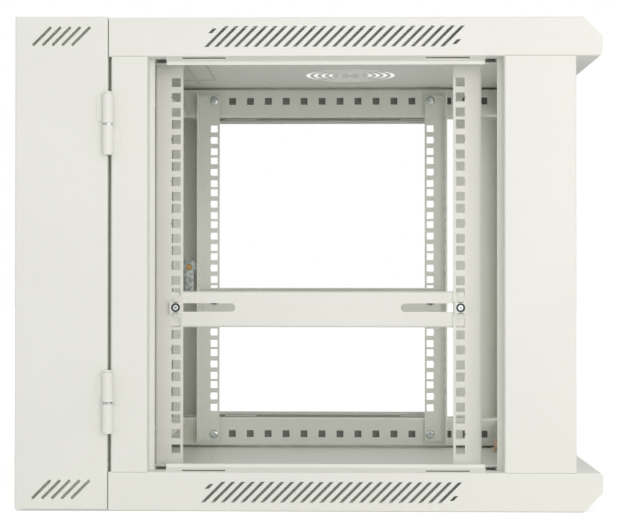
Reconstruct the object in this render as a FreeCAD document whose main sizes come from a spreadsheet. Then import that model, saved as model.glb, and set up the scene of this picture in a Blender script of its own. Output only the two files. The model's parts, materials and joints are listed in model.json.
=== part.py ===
import FreeCAD, Part
import math
import os
import Sketcher
from FreeCAD import Rotation, Vector

# Two-section wall rack cabinet, nine units high, with its door and side panels off.
# Millimetres. +X runs from the wall to the front, +Z is up, -Y is the hinge side.
# The origin is the middle of the main section's underside.

doc = FreeCAD.newDocument("WallRackCabinet")
sheet = doc.addObject("Spreadsheet::Sheet", "Sizes")

SIZES = {
    # Main section
    "side_space": 57,
    "main_height": 503,
    "main_depth": 502,
    "frame_gauge": 1.0,
    "bend_radius": 1.0,
    "band_height": 40,
    "return_width": 38,
    "front_return": 46,
    "rear_return": 26,
    "side_return": 19,
    "hem_end_gap": 13.5,
    "hem_run": 10.5,
    "hem_drop": 3.8,
    "hem_lip": 3.3,
    "latch_length": 44.5,
    "latch_width": 5,
    "latch_offset": 124.4,
    "nose_bevel": 20,
    "nose_chamfer": 2.5,
    "nose_overhang": 26.5,
    # Posts
    "post_setback": 2.5,
    "rear_post_width": 37,
    "front_post_width": 73,
    "panel_rebate": 21,
    "panel_lip": 5,
    "post_fold": 15,
    # Vents in the bands
    "vent_count": 25,
    "vent_pitch": 10,
    "vent_rise": 21.2,
    "vent_width": 4.1,
    "vent_drop": 19.7,
    "top_vent_middle": -21,
    "bottom_vent_middle": -24,
    "short_vent_rise": 5,
    "short_vent_offset": 5.8,
    # Fan grilles and cable entries
    "grille_offset": 128,
    "grille_inner_ring": 26.5,
    "grille_ring_step": 9.7,
    "grille_slot": 5,
    "grille_bridge_angle": 7,
    "grille_hole_circle": 16,
    "grille_hole": 8,
    "entry_setback": 45.5,
    "entry_length": 332,
    "entry_width": 50,
    "entry_cut": 0.4,
    "entry_bridge": 6,
    "entry_screw_spacing": 374,
    "entry_screw_hole": 4,
    # Depth bars
    "bar_gauge": 1.5,
    "bar_height": 38,
    "bar_rear_gap": 2,
    "bar_front_gap": 4,
    "bar_end_margin": 10,
    "bar_slot_clearance": 0.3,
    "bar_pitch": 25,
    "bar_hole": 9.5,
    "bar_flange": 12,
    "bar_lip": 22,
    "bar_standoff": 3,
    # Rails, nine rack units
    "rail_gauge": 2,
    "rail_end_gap": 11.5,
    "rail_drop": 1,
    "rail_side": 30,
    "rail_free_edge": 7.5,
    "rail_flange": 18,
    "rail_setback": 62.7,
    "rail_spacing": 300,
    "rack_opening": 450,
    "rack_hole_spacing": 465,
    "rack_hole": 9.5,
    "rack_notch": 1.3,
    "rack_unit": 44.45,
    "rack_units": 9,
    "rack_step": 15.875,
    "rail_slot_width": 7,
    "rail_slot_length": 12,
    "rail_screw_shift": 2.5,
    # Cross bars
    "cross_gauge": 1.5,
    "cross_height": 38,
    "cross_flange": 12,
    "cross_overhang": 15,
    "cross_drop": 2,
    "cross_slot_height": 9,
    "cross_slot_length": 70.5,
    "cross_slot_past": 8,
    "cross_hole_number": 17,
    # Fasteners, six millimetre thread
    "thread_radius": 3,
    "thread_clearance": 0.05,
    "thread_chamfer": 0.5,
    "nut_size": 13,
    "nut_thick": 5,
    "nut_neck": 9.3,
    "nut_corner": 1.2,
    "nut_ear_width": 5.58,
    "nut_ear_reach": 3,
    "nut_ear_thick": 1.2,
    "screw_head_radius": 6,
    "screw_head_height": 3.4,
    "screw_recess": 1.8,
    "cup_radius": 7.5,
    "cup_thick": 1.6,
    "cup_clearance": 0.2,
    # Wall section
    "section_gap": 1,
    "wall_depth": 95,
    "wall_rise": 1,
    "wall_lift": 2,
    "wall_front_return": 20,
    "wall_back_return": 25,
    "wall_cap_flange": 20,
    "back_plate_margin": 4,
    "back_opening_width": 380,
    "back_opening_height": 280,
    "wall_hole_width": 440,
    "wall_hole_height": 380,
    "wall_hole_radius": 4.5,
    "wall_vent_count": 5,
    "wall_vent_length": 24,
    "wall_vent_slot": 3,
    "wall_vent_drop": 20,
    # Hinges
    "hinge_rise": 0.5,
    "hinge_spacing": 283,
    "knuckle_radius": 5.35,
    "knuckle_length": 30.5,
    "knuckle_gap": 1.2,
    "knuckle_taper": 0.8,
    "knuckle_standoff": 0.15,
    "hinge_washer": 0.9,
    "hinge_pin_radius": 3,
    "hinge_clearance": 0.05,
    "hinge_leaf": 12,
    "hinge_leaf_thick": 1.5,
    "hinge_leaf_height": 24,
    "pin_head_radius": 4.4,
    "pin_head_height": 2,
    "pin_head_gap": 0.2,
    "pin_head_bevel": 0.6,
    "pin_end_gap": 0.5,
    "pin_taper": 0.8,
    # Cam lock on the far rear post
    "lock_inset": 20.5,
    "lock_rise": 0.5,
    "lock_radius": 8,
    "lock_flange_radius": 10,
    "lock_flange_height": 2,
    "lock_depth": 11,
    "lock_bevel": 0.6,
    "lock_nut_width": 22,
    "lock_nut_height": 4,
    "plug_radius": 6,
    "plug_clearance": 0.06,
    "plug_tenon": 7,
    "plug_sink": 0.3,
    "keyway_width": 1.4,
    "keyway_depth": 6,
    "keyway_height": 7.5,
    "cam_thick": 2,
    "cam_width": 13.5,
    "cam_reach": 36,
    "cam_nose_width": 5,
    "cam_nose_height": 6.5,
    "cam_eye_radius": 1.6,
    "cam_eye_rise": 5,
    "cam_gap": 0.3,
    "cam_slot_side": 3,
    "cam_slot_top": 8.5,
    "cam_slot_bottom": 33,
    "cam_screw_radius": 2,
    "cam_screw_head": 4.5,
    "cam_screw_bevel": 0.8,
    "cam_screw_reach": 6,
    "cam_screw_hole_depth": 7,
    "cam_screw_clearance": 0.03,
    "cam_recess_width": 4.5,
    "cam_recess_depth": 1.2,
    "cam_screw_height": 2.5,
    # Earth stud on the floor
    "stud_setback": 52,
    "stud_inset": 100,
    "stud_height": 19,
    "stud_bevel": 0.6,
    "stud_washer_clearance": 0.1,
    "stud_nut_clearance": 0.05,
    "stud_washer_radius": 6.5,
    "stud_washer_thick": 1.2,
    "stud_nut_width": 10,
    "stud_nut_height": 5,
}

for row, (alias, value) in enumerate(SIZES.items(), start=1):
    sheet.set(f"A{row}", alias)
    sheet.set(f"B{row}", str(value))
    sheet.setAlias(f"B{row}", alias)
doc.recompute()


class Dim:
    """A size: its value now, and the spreadsheet formula that keeps it up to date."""

    def __init__(self, value, formula):
        self.value = value
        self.formula = formula

    @staticmethod
    def of(other):
        return other if isinstance(other, Dim) else Dim(float(other), repr(other))

    def _join(self, other, sign, value):
        return Dim(value, f"({self.formula} {sign} {other.formula})")

    def __add__(self, other):
        other = Dim.of(other)
        return self._join(other, "+", self.value + other.value)

    def __sub__(self, other):
        other = Dim.of(other)
        return self._join(other, "-", self.value - other.value)

    def __mul__(self, other):
        other = Dim.of(other)
        return self._join(other, "*", self.value * other.value)

    def __truediv__(self, other):
        other = Dim.of(other)
        return self._join(other, "/", self.value / other.value)

    def __radd__(self, other):
        return Dim.of(other) + self

    def __rsub__(self, other):
        return Dim.of(other) - self

    def __rmul__(self, other):
        return Dim.of(other) * self

    def __neg__(self):
        return -1 * self

    def whole(self):
        """The size rounded down to a whole number, with a hair of room for rounding."""
        return Dim(math.floor(self.value + 1e-6), f"floor({self.formula} + 0.000001)")


class Named:
    """Gives each spreadsheet alias as a Dim: main_width."""

    def __getattr__(self, alias):
        return Dim(float(sheet.get(alias)), f"Sizes.{alias}")


size = Named()


def bind(thing, prop, amount):
    """Set a property and tie it to its formula."""
    if isinstance(amount, Dim):
        thing.setExpression(prop, amount.formula)
    else:
        setattr(thing, prop, amount)


def value_of(amount):
    return amount.value if isinstance(amount, Dim) else float(amount)


# Places that several pieces share

rail_face = size.rack_opening / 2 + size.rail_flange
half_width = rail_face + size.side_space
main_width = 2 * half_width
half_depth = size.main_depth / 2
gauge = size.frame_gauge
window_edge = half_width - size.return_width
window_rear = size.rear_return - half_depth
window_front = half_depth - size.front_return
opening_rear = size.post_setback + size.rear_post_width + size.panel_lip - half_depth
front_post_face = half_depth - size.nose_overhang
opening_front = front_post_face - size.front_post_width - size.panel_lip
bar_face = rail_face + size.bar_standoff
wall_front = -half_depth - size.section_gap
wall_back = wall_front - size.wall_depth
wall_top_level = size.main_height + size.wall_rise
wall_height = wall_top_level - size.wall_lift
hinge_level = size.main_height / 2 + size.hinge_rise
lock_level = size.main_height / 2 + size.lock_rise
lock_x = size.lock_inset + size.post_setback - half_depth
hinge_y = -half_width - size.knuckle_radius - size.knuckle_standoff
hinge_x = -half_depth


class Sheetwork:
    """One sub-part: a body with its sketches and features."""

    def __init__(self, label):
        self.label = label
        self.body = doc.addObject("PartDesign::Body", label)
        self.body.Label = label
        self.count = 0

    def name(self, word):
        self.count += 1
        return f"{self.label}_{word}_{self.count}"

    def plane(self, role):
        return next(f for f in self.body.Origin.OriginFeatures if f.Role == role)

    def sketch(self, plane, offset=None, centre=None):
        """A sketch on one of the body's origin planes, moved along its normal or within it."""
        sketch = self.body.newObject("Sketcher::SketchObject", self.name("sketch"))
        sketch.AttachmentSupport = [(self.plane(plane + "_Plane"), "")]
        sketch.MapMode = "FlatFace"
        if offset is not None:
            sketch.setExpression("AttachmentOffset.Base.z", Dim.of(offset).formula)
        if centre is not None:
            sketch.setExpression("AttachmentOffset.Base.x", Dim.of(centre[0]).formula)
            sketch.setExpression("AttachmentOffset.Base.y", Dim.of(centre[1]).formula)
        return sketch

    def feature(self, kind, sketch, length, reverse=False, symmetric=False):
        item = self.body.newObject("PartDesign::" + kind, self.name(kind.lower()))
        item.Profile = sketch
        if length is None:
            item.Type = "ThroughAll"
        else:
            bind(item, "Length", length)
        if symmetric:
            item.SideType = "Symmetric"
        item.Reversed = reverse
        self.body.Tip = item
        doc.recompute()
        return item

    def pad(self, sketch, length, **way):
        return self.feature("Pad", sketch, length, **way)

    def pocket(self, sketch, length=None, **way):
        """A cut that has to take material away."""
        before = self.body.Shape.Volume
        item = self.feature("Pocket", sketch, length, **way)
        if self.body.Shape.Volume > before - 1e-3:
            raise RuntimeError(f"{self.label}: {item.Label} cuts nothing")
        return item

    def row(self, original, direction, pitch, count):
        """Copies of a feature in a straight line."""
        pattern = self.body.newObject("PartDesign::LinearPattern", self.name("row"))
        pattern.Originals = [original]
        pattern.Direction = (original.Profile[0], [direction])
        pattern.setExpression("Length", (pitch * (count - 1)).formula)
        pattern.setExpression("Occurrences", Dim.of(count).formula)
        self.body.Tip = pattern
        doc.recompute()
        return pattern

    def ring(self, original, count):
        """Copies of a feature round its own sketch's middle."""
        pattern = self.body.newObject("PartDesign::PolarPattern", self.name("ring"))
        pattern.Originals = [original]
        pattern.Axis = (original.Profile[0], ["N_Axis"])
        pattern.Angle = 360
        pattern.Occurrences = count
        self.body.Tip = pattern
        doc.recompute()
        return pattern

    def round_edges(self, radius, chosen):
        """Fillet the straight edges whose middle satisfies the test."""
        names = []
        for number, edge in enumerate(self.body.Shape.Edges, start=1):
            if isinstance(edge.Curve, Part.Line):
                start, end = edge.Vertexes[0].Point, edge.Vertexes[-1].Point
                if chosen(start, end):
                    names.append(f"Edge{number}")
        base = self.body.Tip
        fillet = self.body.newObject("PartDesign::Fillet", self.name("fillet"))
        fillet.Base = (base, names)
        bind(fillet, "Radius", radius)
        self.body.Tip = fillet
        doc.recompute()
        return fillet


def polygon(sketch, points):
    """A closed outline whose corners are tied to their formulas."""
    first = sketch.GeometryCount
    count = len(points)
    corners = [Vector(value_of(x), value_of(y), 0) for x, y in points]
    for here in range(count):
        sketch.addGeometry(Part.LineSegment(corners[here], corners[(here + 1) % count]))
    for here in range(count):
        after = (here + 1) % count
        sketch.addConstraint(Sketcher.Constraint("Coincident", first + here, 2, first + after, 1))
    for here, (x, y) in enumerate(points):
        for kind, amount in (("DistanceX", x), ("DistanceY", y)):
            where = sketch.addConstraint(
                Sketcher.Constraint(kind, -1, 1, first + here, 1, value_of(amount)))
            if isinstance(amount, Dim):
                sketch.setExpression(f"Constraints[{where}]", amount.formula)


def rectangle(sketch, middle_x, middle_y, width, height):
    left, right = middle_x - width / 2, middle_x + width / 2
    low, high = middle_y - height / 2, middle_y + height / 2
    polygon(sketch, [(left, low), (right, low), (right, high), (left, high)])


def circle(sketch, x, y, radius):
    where = sketch.addGeometry(
        Part.Circle(Vector(value_of(x), value_of(y), 0), Vector(0, 0, 1), value_of(radius)))
    for kind, amount in (("DistanceX", x), ("DistanceY", y)):
        if value_of(amount) == 0 and not isinstance(amount, Dim):
            continue
        tie = sketch.addConstraint(
            Sketcher.Constraint(kind, -1, 1, where, 3, value_of(amount)))
        if isinstance(amount, Dim):
            sketch.setExpression(f"Constraints[{tie}]", amount.formula)
    tie = sketch.addConstraint(Sketcher.Constraint("Radius", where, value_of(radius)))
    if isinstance(radius, Dim):
        sketch.setExpression(f"Constraints[{tie}]", radius.formula)


def stadium(sketch, middle, half_run, half_rise, width):
    """A round-ended slot whose end centres lie at middle -/+ (half_run, half_rise)."""
    (x, y), radius = middle, width / 2
    ends = [(x - half_run, y - half_rise), (x + half_run, y + half_rise)]
    slope = math.atan2(value_of(half_rise), value_of(half_run))
    side = Vector(-math.sin(slope), math.cos(slope), 0) * value_of(radius)
    points = [Vector(value_of(a), value_of(b), 0) for a, b in ends]
    up = Vector(0, 0, 1)
    starts = (slope + math.pi / 2, slope - math.pi / 2)
    arcs = [sketch.addGeometry(Part.ArcOfCircle(Part.Circle(p, up, value_of(radius)), start, start + math.pi))
            for p, start in zip(points, starts)]
    low = sketch.addGeometry(Part.LineSegment(points[0] - side, points[1] - side))
    high = sketch.addGeometry(Part.LineSegment(points[1] + side, points[0] + side))
    for a, a_end, b, b_end in ((arcs[0], 2, low, 1), (low, 2, arcs[1], 1),
                               (arcs[1], 2, high, 1), (high, 2, arcs[0], 1)):
        sketch.addConstraint(Sketcher.Constraint("Tangent", a, a_end, b, b_end))
    sketch.addConstraint(Sketcher.Constraint("Equal", arcs[0], arcs[1]))
    tie = sketch.addConstraint(Sketcher.Constraint("Radius", arcs[0], value_of(radius)))
    sketch.setExpression(f"Constraints[{tie}]", Dim.of(radius).formula)
    for arc, (a, b) in zip(arcs, ends):
        for kind, amount in (("DistanceX", a), ("DistanceY", b)):
            tie = sketch.addConstraint(Sketcher.Constraint(kind, -1, 1, arc, 3, value_of(amount)))
            if isinstance(amount, Dim):
                sketch.setExpression(f"Constraints[{tie}]", amount.formula)


def folded(path, thickness, side):
    """The section of a right-angled folded strip: its outer path, and the same path one
    thickness to the given side (+1 left, -1 right of the way it runs)."""
    spots = [(value_of(x), value_of(y)) for x, y in path]
    normals = []
    for (ax, ay), (bx, by) in zip(spots, spots[1:]):
        run, rise = bx - ax, by - ay
        length = math.hypot(run, rise)
        normals.append((round(-rise / length) * side, round(run / length) * side))
    inner = []
    for here, (x, y) in enumerate(path):
        near = {normals[max(here - 1, 0)], normals[min(here, len(normals) - 1)]}
        shift = [sum(n[axis] for n in near) for axis in (0, 1)]
        inner.append((x + thickness * shift[0], y + thickness * shift[1]))
    return list(path) + inner[::-1], inner


def round_bends(piece, path, inner, axis, thickness, radius):
    """Give each fold of a strip its inner and outer bend radius."""
    others = [a for a in (0, 1, 2) if a != axis]

    def edges_at(points):
        spots = [(value_of(x), value_of(y)) for x, y in points[1:-1]]

        def chosen(start, end):
            if abs(end[axis] - start[axis]) < 1:
                return False
            return any(all(abs(p[a] - s[i]) < 1e-4 for i, a in enumerate(others) for p in (start, end))
                       for s in spots)
        return chosen

    corners, hollows = [], []
    for here in range(1, len(path) - 1):
        before = Vector(value_of(path[here][0]) - value_of(path[here - 1][0]),
                        value_of(path[here][1]) - value_of(path[here - 1][1]), 0)
        after = Vector(value_of(path[here + 1][0]) - value_of(path[here][0]),
                       value_of(path[here + 1][1]) - value_of(path[here][1]), 0)
        shift = Vector(value_of(inner[here][0]) - value_of(path[here][0]),
                       value_of(inner[here][1]) - value_of(path[here][1]), 0)
        outside = shift.dot(after) - shift.dot(before) > 0
        corners.append(path[here] if outside else inner[here])
        hollows.append(inner[here] if outside else path[here])
    guard = [corners[0]]
    piece.round_edges(radius + thickness, edges_at(guard + corners + guard))
    piece.round_edges(radius, edges_at(guard + hollows + guard))


def strip(label, plane, path, thickness, side, length, offset=None, symmetric=True, reverse=False):
    """A folded strip: the section of a path, drawn out to a length, with rounded folds."""
    piece = Sheetwork(label)
    section, inner = folded(path, thickness, side)
    sketch = piece.sketch(plane, offset=offset)
    polygon(sketch, section)
    piece.pad(sketch, length, symmetric=symmetric, reverse=reverse)
    axis = {"XY": 2, "XZ": 1, "YZ": 0}[plane]
    round_bends(piece, path, inner, axis, thickness, size.bend_radius)
    return piece


# Trays: the roof and the floor, each one folded sheet with bands, returns and a bevelled nose

hem_rear = opening_rear + size.hem_end_gap
hem_front = opening_front - size.hem_end_gap
rail_columns = [size.rail_setback - half_depth, size.rail_setback - half_depth + size.rail_spacing]


def hem(piece, level, top):
    """Between the posts the side returns are narrow, and their middle tab slopes down into a lip
    that the side panel hooks behind, with a slot in the slope beside each rail."""
    band = size.band_height
    inner = half_width - size.side_return
    side_windows = piece.sketch("XY", offset=level(band / 2))
    for side in (-1, 1):
        edge = side * (window_edge - 1)
        polygon(side_windows, [(opening_rear, edge), (opening_front, edge), (opening_front, side * inner),
                               (hem_front, side * inner), (hem_front, side * (half_width - gauge)),
                               (hem_rear, side * (half_width - gauge)), (hem_rear, side * inner),
                               (opening_rear, side * inner)])
    piece.pocket(side_windows, band, reverse=not top)

    tab = piece.sketch("YZ", offset=(hem_rear + hem_front) / 2)
    slope_end = half_width - size.hem_run
    low, lip = band + size.hem_drop, band + size.hem_drop + size.hem_lip
    start = band - 2 * gauge
    for side in (-1, 1):
        polygon(tab, [(side * half_width, level(start)), (side * half_width, level(band - gauge / 2)),
                      (side * slope_end, level(low)), (side * slope_end, level(lip)),
                      (side * (slope_end - gauge), level(lip)),
                      (side * (slope_end - gauge), level(low - gauge)),
                      (side * (half_width - gauge), level(band - 3 * gauge / 2)),
                      (side * (half_width - gauge), level(start))])
    piece.pad(tab, hem_front - hem_rear, symmetric=True)

    slots = piece.sketch("XY", offset=level(band))
    for side in (-1, 1):
        for way in (-1, 1):
            rectangle(slots, (hem_rear + hem_front) / 2 + way * size.latch_offset,
                      side * (half_width - size.hem_run / 2), size.latch_length, size.latch_width)
    piece.pocket(slots, 4 * size.hem_drop, symmetric=True)


def tray(label, top):
    """top is true for the roof and false for the floor."""

    def level(inward):
        """The height at a distance inward from the tray's outer face."""
        return size.main_height - inward if top else Dim.of(0) + inward

    piece = Sheetwork(label)
    bevel, chamfer, band = size.nose_bevel, size.nose_chamfer, size.band_height
    sketch = piece.sketch("XZ")
    polygon(sketch, [(-half_depth, level(0)), (half_depth - bevel, level(0)),
                     (half_depth, level(bevel)), (half_depth, level(band - chamfer)),
                     (half_depth - chamfer, level(band)), (-half_depth, level(band))])
    piece.pad(sketch, main_width, symmetric=True)

    def along_x(width_from_middle, heights):
        def chosen(start, end):
            return (abs(start.y - end.y) < 1e-4 and abs(start.z - end.z) < 1e-4
                    and abs(start.x - end.x) > half_depth.value / 2
                    and abs(abs(start.y) - width_from_middle) < 1e-4
                    and any(abs(start.z - h) < 1e-4 for h in heights))
        return chosen

    outer = [level(0).value, level(band).value]
    piece.round_edges(size.bend_radius + gauge, along_x(half_width.value, outer))

    miter = gauge * (math.sqrt(2) - 1)
    hollow = piece.sketch("XZ")
    polygon(hollow, [(gauge - half_depth, level(gauge)), (half_depth - bevel - miter, level(gauge)),
                     (half_depth - gauge, level(bevel + miter)),
                     (half_depth - gauge, level(band - chamfer - miter)),
                     (half_depth - chamfer - miter, level(band - gauge)),
                     (gauge - half_depth, level(band - gauge))])
    piece.pocket(hollow, main_width - 2 * gauge, symmetric=True)
    inner = [level(gauge).value, level(band - gauge).value]
    piece.round_edges(size.bend_radius, along_x((half_width - gauge).value, inner))

    window = piece.sketch("XY", offset=level(band / 2))
    polygon(window, [(window_rear, -window_edge), (window_front, -window_edge),
                     (window_front, window_edge), (window_rear, window_edge)])
    piece.pocket(window, band / 2, reverse=not top)
    hem(piece, level, top)

    # Slanted vents through both bands
    middle = size.top_vent_middle if top else size.bottom_vent_middle
    first = middle - size.vent_pitch * (size.vent_count - 1) / 2
    vent_level = level(size.vent_drop)

    def slant(x, height, rise):
        half, wide = rise / 2, size.vent_width / 2
        return [(x - half - wide, height - half), (x - half + wide, height - half),
                (x + half + wide, height + half), (x + half - wide, height + half)]

    vent = piece.sketch("XZ")
    polygon(vent, slant(first, vent_level, size.vent_rise))
    cut = piece.pocket(vent, main_width + 2, symmetric=True)
    piece.row(cut, "H_Axis", size.vent_pitch, size.vent_count)
    ends = piece.sketch("XZ")
    for way in (-1, 1):
        shift = -way * size.short_vent_offset
        x = middle + way * size.vent_pitch * (size.vent_count + 1) / 2 + shift
        polygon(ends, slant(x, vent_level + shift, size.short_vent_rise))
    piece.pocket(ends, main_width + 2, symmetric=True)

    # Cable entry: a knock-out held by short bridges, and the screw holes past its ends
    face = level(gauge / 2)
    entry_middle = size.entry_setback - half_depth
    long_cut = (size.entry_length - 3 * size.entry_bridge) / 2
    across = size.entry_width / 2
    cuts = piece.sketch("XY", offset=face)
    for way_x in (-1, 1):
        for way_y in (-1, 1):
            rectangle(cuts, entry_middle + way_x * across,
                      way_y * (long_cut + size.entry_bridge) / 2, size.entry_cut, long_cut)
    for way_y in (-1, 1):
        rectangle(cuts, entry_middle, way_y * size.entry_length / 2,
                  size.entry_width - size.entry_bridge, size.entry_cut)
        circle(cuts, entry_middle, way_y * size.entry_screw_spacing / 2, size.entry_screw_hole / 2)
    piece.pocket(cuts, 4 * gauge, symmetric=True)
    return piece


def fan_grille(piece, side):
    """Rings of arc slots round six holes, cut through the roof."""
    face = size.main_height - gauge / 2
    centre = (Dim.of(0), side * size.grille_offset)
    holes = piece.sketch("XY", offset=face, centre=centre)
    circle(holes, Dim.of(0), size.grille_hole_circle, size.grille_hole / 2)
    hole = piece.pocket(holes, 4 * gauge, symmetric=True)
    piece.ring(hole, 6)

    slots = piece.sketch("XY", offset=face, centre=centre)
    half_turn = math.radians(45) - math.radians(size.grille_bridge_angle.value) / 2
    for ring in range(4):
        radius = size.grille_inner_ring + ring * size.grille_ring_step
        arc_slot(slots, radius, size.grille_slot, half_turn, 45 - size.grille_bridge_angle / 2)
    cut = piece.pocket(slots, 4 * gauge, symmetric=True)
    piece.ring(cut, 4)


def arc_slot(sketch, radius, width, half_turn, half_angle):
    """An arc-shaped slot round the sketch's origin, centred on its horizontal axis."""
    up, origin = Vector(0, 0, 1), Vector(0, 0, 0)
    arcs = []
    for amount in (radius - width / 2, radius + width / 2):
        arc = sketch.addGeometry(
            Part.ArcOfCircle(Part.Circle(origin, up, amount.value), -half_turn, half_turn))
        sketch.addConstraint(Sketcher.Constraint("Coincident", arc, 3, -1, 1))
        tie = sketch.addConstraint(Sketcher.Constraint("Radius", arc, amount.value))
        sketch.setExpression(f"Constraints[{tie}]", amount.formula)
        arcs.append(arc)
    for sign, end in ((-1, 1), (1, 2)):
        way = Vector(math.cos(half_turn), sign * math.sin(half_turn), 0)
        inner, outer = (way * (radius.value + s * value_of(width) / 2) for s in (-1, 1))
        line = sketch.addGeometry(Part.LineSegment(inner, outer))
        sketch.addConstraint(Sketcher.Constraint("Coincident", line, 1, arcs[0], end))
        sketch.addConstraint(Sketcher.Constraint("Coincident", line, 2, arcs[1], end))
        sketch.addConstraint(Sketcher.Constraint("PointOnObject", -1, 1, line))
        tie = sketch.addConstraint(Sketcher.Constraint("Angle", line, sign * half_turn))
        sketch.setExpression(f"Constraints[{tie}]", f"{sign} * ({half_angle.formula}) * 1 deg")


top_tray = tray("top_tray", True)
for grille_side in (-1, 1):
    fan_grille(top_tray, grille_side)
bottom_tray = tray("bottom_tray", False)

# Corner posts, folded to a rebate that the side panels close against

SIDES = {"near": -1, "far": 1}
post_length = size.main_height - 2 * size.band_height
post_base = size.band_height


def post(label, side, face_from, face_to, way):
    """A post whose outer face runs from its rebate edge (face_from) to its corner (face_to);
    way is +1 where the corner is towards +X."""
    outer = side * half_width
    rebate = side * (half_width - size.panel_rebate)
    fold = side * window_edge
    path = [(face_from - way * size.panel_lip, rebate), (face_from, rebate), (face_from, outer),
            (face_to, outer), (face_to, fold), (face_to - way * size.post_fold, fold)]
    return strip(label, "XY", path, gauge, -way * side, post_length, offset=post_base,
                 symmetric=False)


def cam_slot(piece, plane_x, side):
    """The slot that the lock's cam swings through, in a flange across the depth."""
    sketch = piece.sketch("YZ", offset=plane_x)
    cam_middle = side * (half_width - size.lock_depth - size.cam_gap - size.cam_thick / 2)
    half = size.cam_thick / 2 + size.cam_slot_side
    low, high = lock_level - size.cam_slot_bottom, lock_level + size.cam_slot_top
    polygon(sketch, [(cam_middle - half, low), (cam_middle + half, low),
                     (cam_middle + half, high), (cam_middle - half, high)])
    piece.pocket(sketch, 6 * gauge, symmetric=True)


posts = {}
rear_post_face = size.post_setback - half_depth
for side_name, side in SIDES.items():
    posts["rear", side_name] = post(f"rear_post_{side_name}", side,
                                    rear_post_face + size.rear_post_width, rear_post_face, -1)
    posts["front", side_name] = post(f"front_post_{side_name}", side,
                                     front_post_face - size.front_post_width, front_post_face, 1)

lock_post = posts["rear", "far"]
cam_slot(lock_post, rear_post_face, 1)
lock_hole = lock_post.sketch("XZ", offset=-half_width)
circle(lock_hole, lock_x, lock_level, size.lock_radius)
lock_post.pocket(lock_hole, 6 * gauge, symmetric=True)

# Depth bars: channels under each tray's returns, with square holes for the rails

bar_rear = gauge + size.bar_rear_gap - half_depth
bar_front = half_depth - size.nose_bevel - size.bar_front_gap
bar_first = rail_columns[0]
bar_holes = ((bar_front - size.bar_end_margin - bar_first) / size.bar_pitch).whole() + 1


def bar_screw_level(up):
    """The height of the rail screws: a little off the bar's middle, towards the roof or floor."""
    inward = size.band_height + size.bar_gauge - size.bar_height / 2 - size.rail_screw_shift
    return size.main_height - inward if up > 0 else inward


def depth_bar(label, side, up):
    """A lipped channel, open towards the side panel, whose slotted ends grip the tray's front
    and rear returns."""
    level = size.main_height - size.band_height if up > 0 else Dim.of(0) + size.band_height
    face, back = side * bar_face, side * (bar_face + size.bar_flange)
    low = level - up * size.bar_gauge
    far = low + up * size.bar_height
    path = [(back, far - up * size.bar_lip), (back, far), (face, far), (face, low), (back, low)]
    piece = strip(label, "YZ", path, size.bar_gauge, up * side, bar_front - bar_rear,
                  offset=(bar_rear + bar_front) / 2)
    sketch = piece.sketch("XZ", offset=-face)
    rectangle(sketch, bar_first, bar_screw_level(up), size.bar_hole, size.bar_hole)
    hole = piece.pocket(sketch, 4 * size.bar_gauge, symmetric=True)
    piece.row(hole, "H_Axis", size.bar_pitch, bar_holes)
    grips = piece.sketch("XZ", offset=-face)
    slot_height = gauge + size.bar_slot_clearance
    for end, edge, way in ((bar_rear, window_rear, -1), (bar_front, window_front, 1)):
        inner_end = edge - way * size.bar_slot_clearance
        rectangle(grips, (end + inner_end) / 2 + way * gauge / 2, level + up * slot_height / 2,
                  way * (end - inner_end) + gauge, slot_height)
    piece.pocket(grips, 4 * size.bar_gauge, symmetric=True)
    return piece


for side_name, side in SIDES.items():
    depth_bar(f"depth_bar_top_{side_name}", side, 1)
    depth_bar(f"depth_bar_bottom_{side_name}", side, -1)

# Rails: nine units of square holes in both flanges, the middle one of each unit notched

rail_level = size.main_height / 2 - size.rail_drop
rail_length = size.main_height - 2 * size.rail_end_gap
rail_low = rail_level - rail_length / 2
unit_edge = (size.rack_unit - 2 * size.rack_step) / 2
first_hole = rail_level - size.rack_unit * size.rack_units / 2 + unit_edge


def unit_holes(sketch, x, away):
    """The three holes of one unit in a column at x; the notch points to +x or -x."""
    half = size.rack_hole / 2
    for number in range(3):
        middle = first_hole + number * size.rack_step
        corners = [(x - half, middle - half), (x + half, middle - half),
                   (x + half, middle + half), (x - half, middle + half)]
        if number == 1:
            tip = (x + away * (half + size.rack_notch), middle)
            notch = [(x + away * half, middle - away * size.rack_notch), tip,
                     (x + away * half, middle + away * size.rack_notch)]
            where = 2 if away > 0 else 4
            corners = corners[:where] + notch + corners[where:]
        polygon(sketch, corners)


def rail(label, side, way):
    """way is +1 for the front rail, whose rack flange faces the front."""
    column = rail_columns[0] if way < 0 else rail_columns[1]
    free_edge = column - way * size.rail_free_edge
    corner = free_edge + way * size.rail_side
    face = side * rail_face
    path = [(free_edge, face), (corner, face), (corner, side * size.rack_opening / 2)]
    piece = strip(label, "XY", path, size.rail_gauge, -way * side, rail_length,
                  offset=rail_low, symmetric=False)
    sketch = piece.sketch("XZ", offset=-face)
    unit_holes(sketch, column, way)
    holes = piece.pocket(sketch, 4 * size.rail_gauge, symmetric=True)
    piece.row(holes, "V_Axis", size.rack_unit, size.rack_units)
    sketch = piece.sketch("YZ", offset=corner)
    unit_holes(sketch, side * size.rack_hole_spacing / 2, side)
    holes = piece.pocket(sketch, 4 * size.rail_gauge, symmetric=True)
    piece.row(holes, "V_Axis", size.rack_unit, size.rack_units)
    sketch = piece.sketch("XZ", offset=-face)
    half_rise = (size.rail_slot_length - size.rail_slot_width) / 2
    for up in (-1, 1):
        stadium(sketch, (column, bar_screw_level(up)), Dim.of(0), half_rise, size.rail_slot_width)
    piece.pocket(sketch, 4 * size.rail_gauge, symmetric=True)
    return piece


for side_name, side in SIDES.items():
    rail(f"rail_rear_{side_name}", side, -1)
    rail(f"rail_front_{side_name}", side, 1)

# Cross bars between the rails, with adjusting slots

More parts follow.
